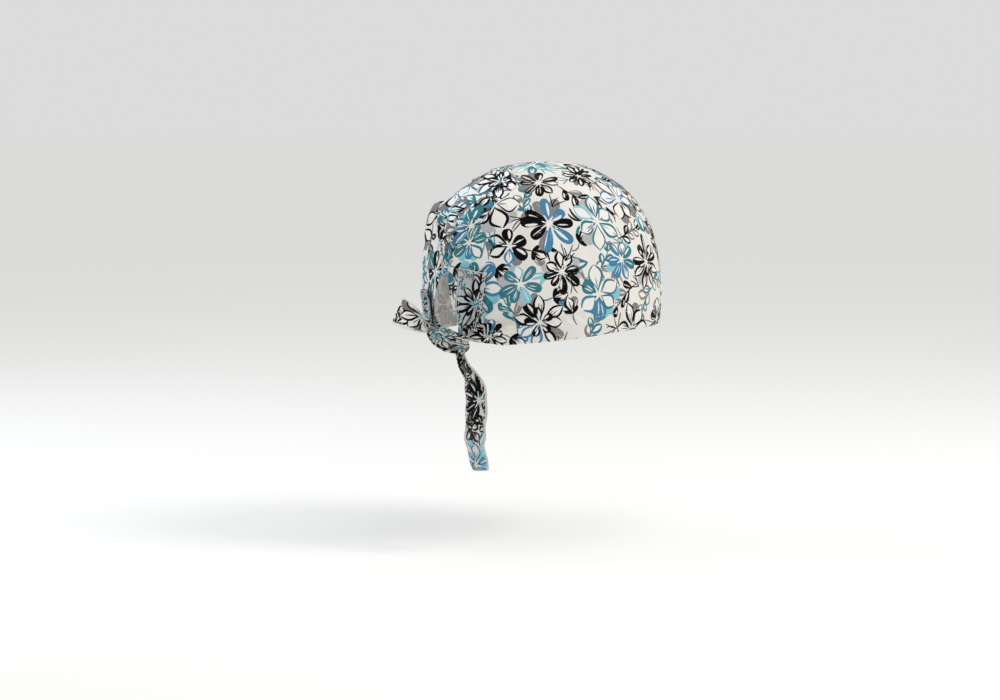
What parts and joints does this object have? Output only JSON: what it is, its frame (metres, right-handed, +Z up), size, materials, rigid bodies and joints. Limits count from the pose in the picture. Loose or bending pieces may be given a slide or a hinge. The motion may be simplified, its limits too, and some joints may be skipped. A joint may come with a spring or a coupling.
{
  "type": "surgical scrub cap",
  "caption": "Tie-back cloth cap shaped as worn: one-piece front and sides, gathered back panel, keyhole opening and straps knotted at the nape.",
  "frame": {"origin": "middle of the head opening, at the level of the rim over the ears", "axes": "+Z up through the crown; the wearer faces -Y, so the knot is on the +Y side, and the wearer's right is -X"},
  "size_m": [0.1618, 0.2326, 0.2332],
  "materials": {
    "front_cotton": "plain woven cotton, cream ground with a brushed flower print, matt",
    "back_cotton": "the same printed cotton, gathered, matt",
    "tie_cotton": "the same printed cotton folded to a strap and edge stitched, matt",
    "knot_cotton": "the same straps bunched and pulled tight, matt"
  },
  "bodies": {
    "root": {"front_panel": "front_cotton", "back_panel": "back_cotton", "right_tie": "tie_cotton", "left_tie": "tie_cotton", "knot": "knot_cotton", "hanging_tail": "tie_cotton", "short_tail": "tie_cotton"}
  },
  "joints": []
}
